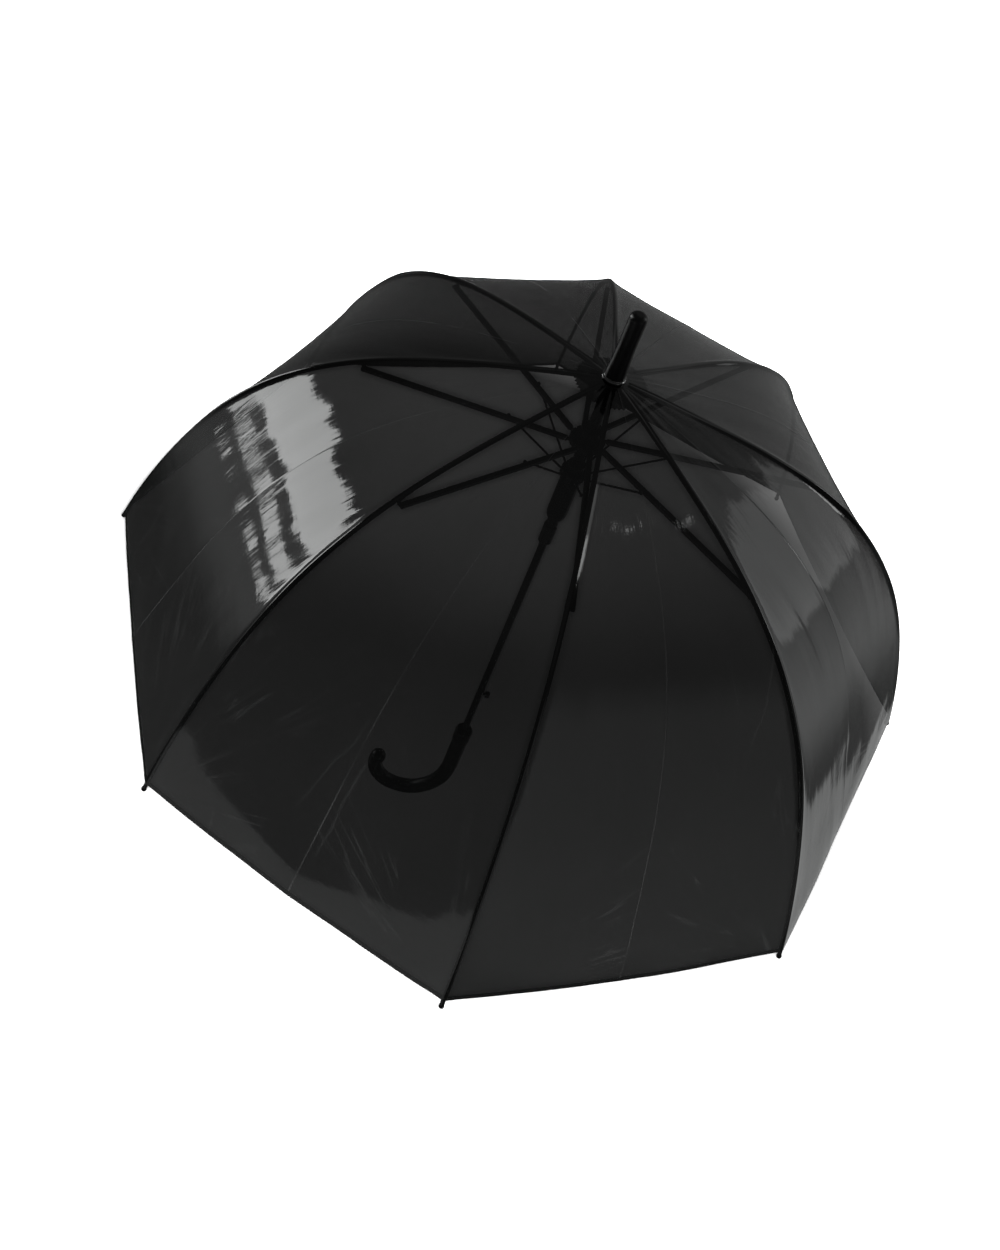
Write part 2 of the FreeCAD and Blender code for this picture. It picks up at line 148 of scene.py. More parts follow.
def panel_point(k, s, v, extra=0.0):
    """Film point of the panel between rib k and rib k+1. s, v arrays. Returns (n, 3) in metres, row frame."""
    s, v = np.broadcast_arrays(np.asarray(s, float), np.asarray(v, float))
    s = s + HEM_BOW * 4 * v * (1 - v) * blend(s, 380, 575)
    r, z, th = rib(s)
    off = film_off(s) + extra
    ra, za = r + off * np.sin(th), z + off * np.cos(th)
    a, b = STEP * k, STEP * (k + 1)
    A = np.stack([ra * math.cos(a), ra * math.sin(a), za], -1)
    B = np.stack([ra * math.cos(b), ra * math.sin(b), za], -1)
    m = a + HALF
    er = np.array([math.cos(m), math.sin(m), 0.0])
    nrm = np.stack([np.sin(th) * er[0], np.sin(th) * er[1], np.cos(th)], -1)
    nrm /= np.linalg.norm(nrm, axis=-1, keepdims=True)
    P = A + (B - A) * v[..., None]
    width = 2 * ra * math.sin(HALF)
    sag = SAG * ra * blend(s, 40, 260) * 4 * v * (1 - v) * (1 - blend(s, 450, 585))    # the welded hem pulls straight
    P = P - er * sag[..., None]
    P = P + nrm * panel_lift(k % N, s, v, width)[..., None]
    # the film bends round the rib instead of folding on a line
    for side, ang in ((v, a), (1 - v, b)):
        d = side * width
        low = (np.sqrt(d * d + RIDGE * RIDGE) - d) * 0.36
        na = np.stack([np.sin(th) * math.cos(ang), np.sin(th) * math.sin(ang), np.cos(th)], -1)
        P = P - na * low[..., None]
    # slack film stands over the rib in a soft fold, higher in some places
    for side, ang, q in ((v, a, k % N), (1 - v, b, (k + 1) % N)):
        d = side * width
        amp = 1.5 * blend(s, 45, 120) * (1 - blend(s, 330, 470)) * np.clip(0.7 + 0.9 * NOISE[q][2](s / 75.0 + 2.0, 7.3), 0.25, 1.5)
        na = np.stack([np.sin(th) * math.cos(ang), np.sin(th) * math.sin(ang), np.cos(th)], -1)
        P = P + na * (amp * np.exp(-(d / 4.2) ** 2))[..., None]
    # and drops away from it on both sides, so the rib stands a little proud
    d1, d2 = v * width, (1 - v) * width
    drop = TENT * (1 - np.exp(-d1 / 9.0)) * (1 - np.exp(-d2 / 9.0)) * blend(s, 40, 110) * (1 - 0.7 * blend(s, 500, 585))
    P = P - nrm * drop[..., None]
    P[..., 2] += ZC * 1000
    return P / 1000


def sector_point(k, s, w, extra=0.0):
    """w in -1..1 across the rib-centred sector of rib k."""
    s, w = np.broadcast_arrays(np.asarray(s, float), np.asarray(w, float))
    out = np.empty(s.shape + (3,))
    pos = w >= 0
    if pos.any():
        out[pos] = panel_point(k, s[pos], w[pos] / 2, extra)
    neg = ~pos
    if neg.any():
        out[neg] = panel_point((k - 1) % N if k else N - 1, s[neg], 1 + w[neg] / 2, extra) if k else \
            panel_point(-1, s[neg], 1 + w[neg] / 2, extra)
    return out


def sector_normals(k, s, w):
    """Analytic-looking unit normals by differences, the same on both sides of every piece border."""
    ds, dw = 0.6, 0.004
    a = sector_point(k, s + ds, w) - sector_point(k, s - ds, w)
    wl, wh = np.clip(w - dw, -1, 1), np.clip(w + dw, -1, 1)
    b = sector_point(k, s, wh) - sector_point(k, s, wl)
    n = np.cross(b, a)
    n /= np.linalg.norm(n, axis=-1, keepdims=True)
    flip = n[..., 2] < 0
    n[flip] *= -1
    return -n if n[..., 2].mean() < 0 else n


# ------------------------------------------------------------------ mesh helpers
def new_object(name, verts, faces, mats=(), smooth=True):
    me = bpy.data.meshes.new(name)
    me.from_pydata([tuple(v) for v in verts], [], faces)
    me.validate()
    me.update()
    ob = bpy.data.objects.new(name, me)
    bpy.context.scene.collection.objects.link(ob)
    for m in mats:
        me.materials.append(m)
    if smooth:
        me.shade_smooth()
    return ob


def add_uv(me, uv_of_vert):
    layer = me.uv_layers.new(name="film")
    idx = np.empty(len(me.loops), int)
    me.loops.foreach_get("vertex_index", idx)
    layer.data.foreach_set("uv", np.asarray(uv_of_vert, float)[idx].reshape(-1))


def add_panel_uv(me, k, w_of_col, s_of_row, row_of_vert, col_of_vert):
    """Metres from the panel's middle (plus a step per panel), metres along the rib; faces never mix two panels."""
    layer = me.uv_layers.new(name="film")
    data = np.empty(len(me.loops) * 2)
    for pgn in me.polygons:
        vs = [me.loops[i].vertex_index for i in pgn.loop_indices]
        side = sum(w_of_col[col_of_vert[v_]] for v_ in vs)
        for i, v_ in zip(pgn.loop_indices, vs):
            w_, s_ = w_of_col[col_of_vert[v_]], s_of_row[row_of_vert[v_]]
            wid = 2 * (float(rib(np.array([s_]))[0][0]) + 3) * math.sin(HALF) / 1000
            if side > 0:
                data[2 * i] = (w_ / 2 - 0.5) * wid + 0.41 * k
            else:
                data[2 * i] = (w_ / 2 + 0.5) * wid + 0.41 * ((k - 1) % N)
            data[2 * i + 1] = s_ / 1000
    layer.data.foreach_set("uv", data)


def grid(nu, nv, start=0):
    f = []
    for i in range(nu - 1):
        for j in range(nv - 1):
            a = start + i * nv + j
            f.append((a, a + nv, a + nv + 1, a + 1))
    return f


def spaced_w(n, lo, hi):
    """Columns across a sector: closer together at the rib and at the panel's middle."""
    t = np.linspace(0, 1, n)
    t = t - 0.055 * np.sin(2 * np.pi * t) * 1.6
    if lo < 0 < hi:
        m = n // 2
        u = np.linspace(0, 1, m + 1)
        u = u - 0.09 * np.sin(2 * np.pi * u)
        return np.concatenate([-u[::-1], u[1:]])
    u = t
    return (u if hi > 0 else -u[::-1])


# ------------------------------------------------------------------ materials
def mat(name):
    m = bpy.data.materials.new(name)
    m.use_nodes = True
    nt = m.node_tree
    for n in list(nt.nodes):
        nt.nodes.remove(n)
    out = nt.nodes.new("ShaderNodeOutputMaterial")
    p = nt.nodes.new("ShaderNodeBsdfPrincipled")
    nt.links.new(p.outputs[0], out.inputs[0])
    return m, nt, p


def node(nt, kind, **kw):
    n = nt.nodes.new(kind)
    for k, v in kw.items():
        setattr(n, k, v)
    return n


def noise(nt, vec, scale, detail=3.0, rough=0.55, dist=0.0):
    n = node(nt, "ShaderNodeTexNoise")
    n.inputs["Scale"].default_value = scale
    n.inputs["Detail"].default_value = detail
    n.inputs["Roughness"].default_value = rough
    n.inputs["Distortion"].default_value = dist
    if vec is not None:
        nt.links.new(vec, n.inputs["Vector"])
    return n.outputs[0]


def ramp(nt, fac, stops):
    n = node(nt, "ShaderNodeValToRGB")
    e = n.color_ramp.elements
    while len(e) > 1:
        e.remove(e[-1])
    for i, (p, c) in enumerate(stops):
        el = e[0] if i == 0 else e.new(p)
        el.position = p
        el.color = (c, c, c, 1) if not hasattr(c, "__len__") else tuple(c) + (1,)
    nt.links.new(fac, n.inputs[0])
    return n.outputs[0]


def mrange(nt, val, a, b, c, d):
    n = node(nt, "ShaderNodeMapRange")
    for i, x in zip((1, 2, 3, 4), (a, b, c, d)):
        n.inputs[i].default_value = x
    nt.links.new(val, n.inputs[0])
    return n.outputs[0]


def mapping(nt, vec, scale, rot=(0, 0, 0)):
    n = node(nt, "ShaderNodeMapping")
    n.inputs["Scale"].default_value = scale
    n.inputs["Rotation"].default_value = rot
    nt.links.new(vec, n.inputs["Vector"])
    return n.outputs[0]


def bump(nt, height, strength, distance, normal=None):
    n = node(nt, "ShaderNodeBump")
    n.inputs["Strength"].default_value = strength
    n.inputs["Distance"].default_value = distance
    nt.links.new(height, n.inputs["Height"])
    if normal is not None:
        nt.links.new(normal, n.inputs["Normal"])
    return n.outputs[0]


def film_material(name, alpha, base, rough=(0.03, 0.09), bumps=1.0, ior=1.6, crease=1.0):
    m, nt, p = mat(name)
    uv = node(nt, "ShaderNodeUVMap", uv_map="film").outputs[0]          # metres across, metres along the rib
    streak = noise(nt, mapping(nt, uv, (60, 5, 1)), 1.0, 4.0, 0.6, 0.4)
    fine = noise(nt, mapping(nt, uv, (260, 40, 1)), 1.0, 3.0, 0.6)
    cross = noise(nt, mapping(nt, uv, (30, 130, 1)), 1.0, 3.0, 0.6, 0.3)
    dust = noise(nt, mapping(nt, uv, (900, 700, 1)), 1.0, 2.0, 0.5)
    cloud = noise(nt, mapping(nt, uv, (9, 6, 1)), 1.0, 3.0, 0.5)
    # packing creases: a long-celled network, shown only in places, and the fold down each panel's middle
    wob = node(nt, "ShaderNodeVectorMath", operation="MULTIPLY_ADD")
    nn = node(nt, "ShaderNodeTexNoise")
    nn.inputs["Scale"].default_value = 9.0
    nt.links.new(uv, nn.inputs["Vector"])
    nt.links.new(nn.outputs["Color"], wob.inputs[0])
    wob.inputs[1].default_value = (0.022, 0.05, 0)
    nt.links.new(uv, wob.inputs[2])
    vor = node(nt, "ShaderNodeTexVoronoi", feature="DISTANCE_TO_EDGE")
    vor.inputs["Scale"].default_value = 1.0
    nt.links.new(mapping(nt, wob.outputs[0], (10, 2.0, 1), (0, 0, 0.12)), vor.inputs["Vector"])
    net = mrange(nt, vor.outputs["Distance"], 0.0, 0.010, 1.0, 0.0)
    patch = mrange(nt, noise(nt, mapping(nt, uv, (14, 5, 1)), 1.0, 2.0), 0.54, 0.66, 0.0, 0.45)
    mul = node(nt, "ShaderNodeMath", operation="MULTIPLY")
    nt.links.new(net, mul.inputs[0])
    nt.links.new(patch, mul.inputs[1])
    sx = node(nt, "ShaderNodeSeparateXYZ")
    nt.links.new(uv, sx.inputs[0])
    wr = node(nt, "ShaderNodeMath", operation="WRAP")
    nt.links.new(sx.outputs[0], wr.inputs[0])
    wr.inputs[1].default_value = 0.205
    wr.inputs[2].default_value = -0.205
    off = node(nt, "ShaderNodeMath", operation="SUBTRACT")
    nt.links.new(wr.outputs[0], off.inputs[0])
    off.inputs[1].default_value = 0.0
    ab = node(nt, "ShaderNodeMath", operation="ABSOLUTE")
    nt.links.new(off.outputs[0], ab.inputs[0])
    midl = mrange(nt, ab.outputs[0], 0.0, 0.0009, 1.0, 0.0)
    midp = mrange(nt, noise(nt, mapping(nt, uv, (2, 9, 1)), 1.0, 2.0), 0.34, 0.52, 0.15, 1.0)
    mul2 = node(nt, "ShaderNodeMath", operation="MULTIPLY")
    nt.links.new(midl, mul2.inputs[0])
    nt.links.new(midp, mul2.inputs[1])
    lines = node(nt, "ShaderNodeMath", operation="MAXIMUM")
    nt.links.new(mul.outputs[0], lines.inputs[0])
    nt.links.new(mul2.outputs[0], lines.inputs[1])
    # fans of fine tension creases, from the crown and from the hem corners of each panel

    def mth(op, x, y=None, z=None):
        q = node(nt, "ShaderNodeMath", operation=op)
        for i_, t_ in enumerate((x, y, z)):
            if t_ is None:
                continue
            if isinstance(t_, (int, float)):
                q.inputs[i_].default_value = t_
            else:
                nt.links.new(t_, q.inputs[i_])
        return q.outputs[0]

    su = node(nt, "ShaderNodeSeparateXYZ")
    nt.links.new(uv, su.inputs[0])
    wrap0 = mth("WRAP", su.outputs[0], 0.205, -0.205)
    ax_ = mth("ABSOLUTE", wrap0)
    run = su.outputs[1]
    panel = mth("ROUND", mth("DIVIDE", su.outputs[0], 0.41))

    def fan(ang_, rad_, shift, k_ang, k_rad, width, r_lo, r_hi, keep):
        cb = node(nt, "ShaderNodeCombineXYZ")
        nt.links.new(mth("MULTIPLY", ang_, k_ang), cb.inputs[0])
        nt.links.new(mth("MULTIPLY", rad_, k_rad), cb.inputs[1])
        nt.links.new(mth("ADD", mth("MULTIPLY", panel, 3.7), shift), cb.inputs[2])
        nz = noise(nt, cb.outputs[0], 1.0, 2.0, 0.5, 0.2)
        rdg = mrange(nt, mth("ABSOLUTE", mth("SUBTRACT", nz, 0.5)), 0.0, width, 1.0, 0.0)
        cb2 = node(nt, "ShaderNodeCombineXYZ")
        nt.links.new(mth("MULTIPLY", ang_, k_ang * 0.35), cb2.inputs[0])
        nt.links.new(mth("MULTIPLY", rad_, k_rad * 1.6), cb2.inputs[1])
        nt.links.new(mth("ADD", mth("MULTIPLY", panel, 5.1), shift + 9.0), cb2.inputs[2])
        gate = mrange(nt, noise(nt, cb2.outputs[0], 1.0, 1.0, 0.5), keep, keep + 0.10, 0.0, 1.0)
        near_ = mrange(nt, rad_, r_lo, r_lo * 1.8, 0.0, 1.0)
        far_ = mrange(nt, rad_, r_hi * 0.55, r_hi, 1.0, 0.0)
        return mth("MULTIPLY", mth("MULTIPLY", rdg, gate), mth("MULTIPLY", near_, far_))

    crown_fan = fan(mth("DIVIDE", wrap0, mth("ADD", run, 0.013)), run, 0.0, 26.0, 4.0, 0.022, 0.030, 0.26, 0.47)
    dx_ = mth("SUBTRACT", 0.168, ax_)
    ds_ = mth("SUBTRACT", 0.578, run)
    rad_c = mth("SQRT", mth("ADD", mth("MULTIPLY", dx_, dx_), mth("MULTIPLY", ds_, ds_)))
    side_ = mth("SIGN", wrap0)
    ang_c = mth("ADD", mth("ARCTAN2", ds_, dx_), mth("MULTIPLY", side_, 11.0))
    hem_fan = fan(ang_c, rad_c, 4.0, 15.0, 5.0, 0.020, 0.020, 0.30, 0.49)
    fans = mth("MULTIPLY", mth("MAXIMUM", crown_fan, hem_fan), 0.32)
    both = node(nt, "ShaderNodeMath", operation="MAXIMUM")
    nt.links.new(lines.outputs[0], both.inputs[0])
    nt.links.new(fans, both.inputs[1])
    lines = both
    colour = ramp(nt, cloud, [(0.3, tuple(c * 0.8 for c in base)), (0.7, tuple(min(1, c * 1.3) for c in base))])
    mix = node(nt, "ShaderNodeMix", data_type="RGBA")
    nt.links.new(lines.outputs[0], mix.inputs[0])
    nt.links.new(colour, mix.inputs[6])
    mix.inputs[7].default_value = (0.046 * crease, 0.047 * crease, 0.0465 * crease, 1)
    nt.links.new(mix.outputs[2], p.inputs["Base Color"])
    r = mrange(nt, streak, 0.3, 0.75, rough[0], rough[1])
    addr = node(nt, "ShaderNodeMath", operation="MULTIPLY_ADD")
    nt.links.new(lines.outputs[0], addr.inputs[0])
    addr.inputs[1].default_value = 0.25 * crease
    nt.links.new(r, addr.inputs[2])
    nt.links.new(addr.outputs[0], p.inputs["Roughness"])
    a = mrange(nt, cloud, 0.3, 0.7, alpha - 0.004, alpha + 0.004)
    nt.links.new(a, p.inputs["Alpha"])
    b = bump(nt, streak, 0.20 * bumps, 0.0012)
    b = bump(nt, cross, 0.10 * bumps, 0.0004, b)
    b = bump(nt, fine, 0.08 * bumps, 0.0003, b)
    b = bump(nt, dust, 0.03 * bumps, 0.0001, b)
    b = bump(nt, lines.outputs[0], 0.35 * crease, 0.0003, b)
    nt.links.new(b, p.inputs["Normal"])
    p.inputs["IOR"].default_value = ior
    p.inputs["Specular IOR Level"].default_value = 0.5
    return m


def solid_material(name, lo, hi, rough, scale, bump_amt=0.1, bump_dist=0.0002, metallic=0.0, coat=0.0,
                   coat_rough=0.08, streaks=None, ior=1.5, wear=None, polish=None):
    m, nt, p = mat(name)
    co = node(nt, "ShaderNodeTexCoord").outputs["Object"]
    v = mapping(nt, co, streaks) if streaks else co
    big = noise(nt, co, scale * 0.12, 3.0, 0.55)
    fine = noise(nt, v, scale, 4.0, 0.6)
    grain = noise(nt, v, scale * 6, 2.0, 0.6)
    colour = ramp(nt, big, [(0.3, lo), (0.7, hi)])
    if wear is not None:
        geo = node(nt, "ShaderNodeNewGeometry")
        edge = mrange(nt, geo.outputs["Pointiness"], 0.52, 0.60, 0.0, 1.0)
        mix = node(nt, "ShaderNodeMix", data_type="RGBA")
        nt.links.new(edge, mix.inputs[0])
        nt.links.new(colour, mix.inputs[6])
        mix.inputs[7].default_value = tuple(wear) + (1,)
        colour = mix.outputs[2]
    nt.links.new(colour, p.inputs["Base Color"])
    rgh = mrange(nt, fine, 0.3, 0.7, rough[0], rough[1])
    if polish is not None:       # the polished bead lies below a height, the satin body above it
        sz = node(nt, "ShaderNodeSeparateXYZ")
        nt.links.new(co, sz.inputs[0])
        up = mrange(nt, sz.outputs[2], polish[0] + 0.0018, polish[1], 0.0, 1.0)
        mixr = node(nt, "ShaderNodeMix", data_type="FLOAT")
        nt.links.new(up, mixr.inputs[0])
        mixr.inputs[2].default_value = polish[2]
        nt.links.new(rgh, mixr.inputs[3])
        rgh = mixr.outputs[0]
        nt.links.new(mrange(nt, up, 0.0, 0.5, 1.0, 0.0), p.inputs["Metallic"])
        mixc = node(nt, "ShaderNodeMix", data_type="RGBA")
        nt.links.new(mrange(nt, up, 0.0, 0.5, 0.0, 1.0), mixc.inputs[0])
        mixc.inputs[6].default_value = (polish[3], polish[3], polish[3], 1)
        nt.links.new(colour, mixc.inputs[7])
        nt.links.new(mixc.outputs[2], p.inputs["Base Color"])
    nt.links.new(rgh, p.inputs["Roughness"])
    b = bump(nt, fine, bump_amt, bump_dist)
    b = bump(nt, grain, bump_amt * 0.5, bump_dist * 0.3, b)
    nt.links.new(b, p.inputs["Normal"])
    if polish is None:
        p.inputs["Metallic"].default_value = metallic
    p.inputs["IOR"].default_value = ior
    p.inputs["Coat Weight"].default_value = coat
    p.inputs["Coat Roughness"].default_value = coat_rough
    return m


FILM = film_material("smoke_film", 0.930, (0.0016, 0.0018, 0.0017))
SEAM = film_material("smoke_film_weld", 0.975, (0.0022, 0.0024, 0.0023), (0.05, 0.10), 0.5, crease=0.0)
HEM = film_material("smoke_film_hem", 0.965, (0.0020, 0.0022, 0.0021), (0.06, 0.14), 0.6, crease=0.0)
ROSETTE = film_material("rosette_patch", 0.93, (0.0035, 0.0037, 0.0036), (0.12, 0.22), 0.6, crease=0.0)
ROD = solid_material("fibreglass_rod", (0.0016, 0.0016, 0.0017), (0.0035, 0.0035, 0.0037), (0.16, 0.26), 900, 0.12,
                     0.0001, streaks=(1, 1, 0.2))
CAPM = solid_material("tip_plastic", (0.0020, 0.0020, 0.0022), (0.004, 0.004, 0.0043), (0.14, 0.24), 700, 0.08)
STEEL = solid_material("black_coated_steel", (0.0022, 0.0023, 0.0024), (0.005, 0.0052, 0.0054), (0.24, 0.38), 600, 0.12,
                       0.00015, coat=0.3, coat_rough=0.2, wear=(0.010, 0.010, 0.011))
TUBE = solid_material("black_coated_tube", (0.0022, 0.0024, 0.0023), (0.0045, 0.0048, 0.0047), (0.18, 0.30), 500, 0.08,
                      0.0001, streaks=(1, 1, 0.08), coat=0.3, coat_rough=0.15)
WIRE = solid_material("drawn_spring_wire", (0.05, 0.05, 0.052), (0.11, 0.11, 0.115), (0.22, 0.38), 1500, 0.15, 0.0001,
                      metallic=1.0, streaks=(1, 1, 4))
MOULD = solid_material("moulded_black", (0.0024, 0.0024, 0.0026), (0.0048, 0.0048, 0.0051), (0.22, 0.36), 420, 0.14,
                       0.0002, wear=(0.009, 0.009, 0.0095))
GLOSS = solid_material("ferrule_gloss", (0.0012, 0.0012, 0.0014), (0.0026, 0.0026, 0.0028), (0.30, 0.36), 60, 0.015,
                       0.0001, polish=(0.6408, 0.6440, 0.16, 0.20))
GRIP = solid_material("handle_moulding", (0.0035, 0.0035, 0.0037), (0.0068, 0.0068, 0.0072), (0.26, 0.42), 260, 0.16,
                      0.00025, wear=(0.011, 0.011, 0.0115))

# ------------------------------------------------------------------ film pieces
ROWS_IN = np.concatenate([np.linspace(1.5, 60, 22), np.linspace(60, CLIP_S, 32)[1:]])
ROWS_OUT = np.linspace(CLIP_S, FILM_S1, 74)
FILM_PIECES = []


def film_piece(name, k, rows, w, hem=False):
    ss, ww = np.meshgrid(rows, w, indexing="ij")
    P = sector_point(k, ss, ww)
    nu, nv = ss.shape
    verts = P.reshape(-1, 3)
    faces = grid(nu, nv)
    nmain = len(faces)
    srow = list(rows)
    if hem:      # folded and welded hem: a second layer inside, joined round the lower edge
        hs = np.array([FILM_S1, FILM_S1 + 0.35, FILM_S1, FILM_S1 - 2.2, FILM_S1 - 4.6, FILM_S1 - 5.2])
        hx = np.array([0.02, -0.30, -0.62, -0.60, -0.58, -0.20])
        hss, hww = np.meshgrid(hs, w, indexing="ij")
        H = np.stack([sector_point(k, np.full(len(w), a), w, x) for a, x in zip(hs, hx)])
        start = len(verts)
        verts = np.concatenate([verts, H.reshape(-1, 3)])
        faces = faces + grid(len(hs), nv, start)
        srow += list(hs)
    ob = new_object(name, verts, faces, [FILM, HEM])
    for i, pgn in enumerate(ob.data.polygons):
        if i >= nmain:
            pgn.material_index = 1
    if hem:      # the outer layer over the hem is the same weld
        lim = FILM_S1 - 5.6
        rowmid = (rows[:-1] + rows[1:]) / 2
        for i in range(nu - 1):
            if rowmid[i] > lim:
                for j in range(nv - 1):
                    ob.data.polygons[i * (nv - 1) + j].material_index = 1
    rov = np.repeat(np.arange(len(srow)), nv)
    cov = np.tile(np.arange(nv), len(srow))
    add_panel_uv(ob.data, k, w, srow, rov, cov)
    return ob


def set_normals(ob, k, rows, w, keep):
    ss, ww = np.meshgrid(rows, w, indexing="ij")
    n = sector_normals(k, ss, ww).reshape(-1, 3)
    me = ob.data
    allv = np.zeros((len(me.vertices), 3))
    me.vertices.foreach_get("normal", allv.reshape(-1))
    allv[:len(n)] = n
    me.normals_split_custom_set_from_vertices([tuple(x) for x in allv])


def mesh_area(ob):
    return sum(p.area for p in ob.data.polygons if p.material_index == 0 or True)


W_FULL = spaced_w(61, -1, 1)
W_POS = spaced_w(41, 0, 1)
W_NEG = -W_POS[::-1]
ROWS_OUT = np.concatenate([np.linspace(CLIP_S, FILM_S1 - 5.4, 72), np.linspace(FILM_S1 - 5.4, FILM_S1, 4)[1:]])

# a chord of the outer film line in the rib plane, from the clip to the hem; it and what follows are not used further
cr, cz, _ = rib(np.array([CLIP_S, 330.0, FILM_S1]))
chord = np.array([cr[2] - cr[0], cz[2] - cz[0]])
chord /= np.linalg.norm(chord)
nc = np.array([-chord[1], chord[0]])      # outward normal of the chord in the rib plane (r, z)
if nc[0] < 0:
    nc = -nc
# the row where the film line stands furthest out along that normal
_sv = np.linspace(CLIP_S, FILM_S1, 200)
_r, _z, _t = rib(_sv)
_far = int(((_r + 2.65 * np.sin(_t)) * nc[0] + (_z + 2.65 * np.cos(_t)) * nc[1]).argmax())
for k in range(N):
    a = STEP * k
    inner = film_piece(f"film_inner_{k}", k, ROWS_IN, W_FULL)
    set_normals(inner, k, ROWS_IN, W_FULL, None)
    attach(inner, f"rib_{k}")
    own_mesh(inner)
    FILM_PIECES.append((inner, CLIP_S))
    for side, w in (("left", W_POS), ("right", W_NEG)):
        ob = film_piece(f"film_outer_{k}_{side}", k, ROWS_OUT, w, hem=True)
        set_normals(ob, k, ROWS_OUT, w, None)
        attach(ob, f"rib_outer_{k}")
        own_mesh(ob)
        FILM_PIECES.append((ob, FILM_S1 - CLIP_S))
        if side == "left":
            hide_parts(f"canopy_sector_{k}")

# crown film and rosette: a fixed middle on the root, petals on the ribs
def disc_piece(name, k0, k1, r0, r1, extra, mats, nr=6, nphi=24, pinked=False):
    """Ring of the film cone between two radii, azimuth from k0 to k1 in rib steps."""
    verts, faces, uvs = [], [], []
    full = abs(k1 - k0 - N) < 1e-6
    cols = np.linspace(k0, k1, int(nphi * (k1 - k0)) + 1)
    rows = np.linspace(0, 1, nr)
    for i, f in enumerate(rows):
        for c in cols:
            rad = r0 + (r1 - r0) * f
            if pinked and i == nr - 1:
                tooth = abs(((c * 6.5) % 1.0) * 2 - 1)
                rad = r1 - 2.2 * tooth
            kk = math.floor(c + 1e-9)
            vv = c - kk
            # arc length whose film radius, at this azimuth, is rad
            shrink = math.cos(HALF) / math.cos((vv - 0.5) * STEP)
            rr = rad / shrink
            s = (rr - RIB_HINGE_R) / math.cos(math.radians(10.8))
            if s < 0:
                ang = c * STEP
                z = -(rr - RIB_HINGE_R) * math.tan(HEAD[0]) + film_off(np.array([0.0]))[()][0] * math.cos(HEAD[0]) + extra
                verts.append((rad * math.cos(ang) / 1000, rad * math.sin(ang) / 1000, z / 1000 + ZC))
            else:
                q = panel_point(kk % N, np.array([s]), np.array([vv * 1.0]), extra)[0]
                verts.append(tuple(q))
            uvs.append((c * STEP * 0.02, rad / 1000))
    faces = grid(len(rows), len(cols))
    ob = new_object(name, verts, faces, mats)
    add_uv(ob.data, uvs)
    return ob


crown = disc_piece("film_crown", 0, N, 8.6, 14.6, 0.0, [FILM], 5, 12)
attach(crown, "root")
core = disc_piece("rosette_core", 0, N, 8.6, 14.8, -1.0, [ROSETTE], 5, 12)
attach(core, "root")
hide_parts("rosette")
PETALS = []
for k in range(N):
    a = STEP * k
    pet = disc_piece(f"rosette_petal_{k}", k - 0.5, k + 0.5, 14.8, 33.0, -1.0, [ROSETTE], 8, 52, pinked=True)
    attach(pet, f"rib_{k}")
    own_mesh(pet)
    PETALS.append(pet)

# welded seam over each rib
def seam_piece(name, k, rows, half):
    ds = np.array([-1.0, -0.6, -0.25, 0, 0.25, 0.6, 1.0]) * half
    pts = []
    for s in rows:
        r, z, th = rib(np.array([s]))
        wdt = 2 * (r[0] + 3) * math.sin(HALF)
        pts.append(sector_point(k, np.full(len(ds), s), ds / wdt * 2, 0.12))
    P = np.array(pts).reshape(-1, 3)
    ob = new_object(name, P, grid(len(rows), len(ds)), [SEAM])
    uv = [(d / 1000, s / 1000) for s in rows for d in ds]
    add_uv(ob.data, uv)
    return ob


for k in range(N):
    s1 = seam_piece(f"seam_inner_{k}", k, np.linspace(14, CLIP_S, 60), 2.4)
    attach(s1, f"rib_{k}")
    s2 = seam_piece(f"seam_outer_{k}", k, np.linspace(CLIP_S, FILM_S1, 100), 2.4)
    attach(s2, f"rib_outer_{k}")

# ------------------------------------------------------------------ opening spring: a fixed coil between the runners, carried by the lower runner
SPRING_LO, SPRING_HI = 485.3, 550.7
turns, per, ring = 17.0, 30, 8
nseg = int(turns * per)
sv, sf = [], []
for i in range(nseg + 1):
    t = i / nseg
    ang = 2 * math.pi * turns * t
    # closed end coils, open ones between
    tt = t + 0.028 * math.sin(2 * math.pi * t) * -1
    z = SPRING_LO + 0.6 + (SPRING_HI - SPRING_LO - 1.2) * tt
    c = np.array([5.35 * math.cos(ang), 5.35 * math.sin(ang), z])
    er_ = np.array([math.cos(ang), math.sin(ang), 0.0])
    tg = np.array([-math.sin(ang), math.cos(ang), (SPRING_HI - SPRING_LO) / (2 * math.pi * turns * 5.35)])
    tg /= np.linalg.norm(tg)
    bn = np.cross(tg, er_)
    for j in range(ring):
        q = 2 * math.pi * j / ring
        sv.append((c + 0.55 * (math.cos(q) * er_ + math.sin(q) * bn)) / 1000)
for i in range(nseg):
    for j in range(ring):
        a, b = i * ring + j, i * ring + (j + 1) % ring
        sf.append((a, b, b + ring, a + ring))
sf.append(tuple(range(ring - 1, -1, -1)))
sf.append(tuple(range(nseg * ring, nseg * ring + ring)))
coil = new_object("opening_coil", sv, sf, [WIRE])
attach(coil, "lower_runner")
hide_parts("opening_spring")
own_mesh(coil)

# ------------------------------------------------------------------ CAD nodes that stay: materials
def paint(prefixes, m):
    for name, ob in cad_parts.items():
        if any(name.startswith(p) for p in prefixes):
            if not ob.material_slots:
                ob.data.materials.append(m)
            for sl in ob.material_slots:
                sl.material = m


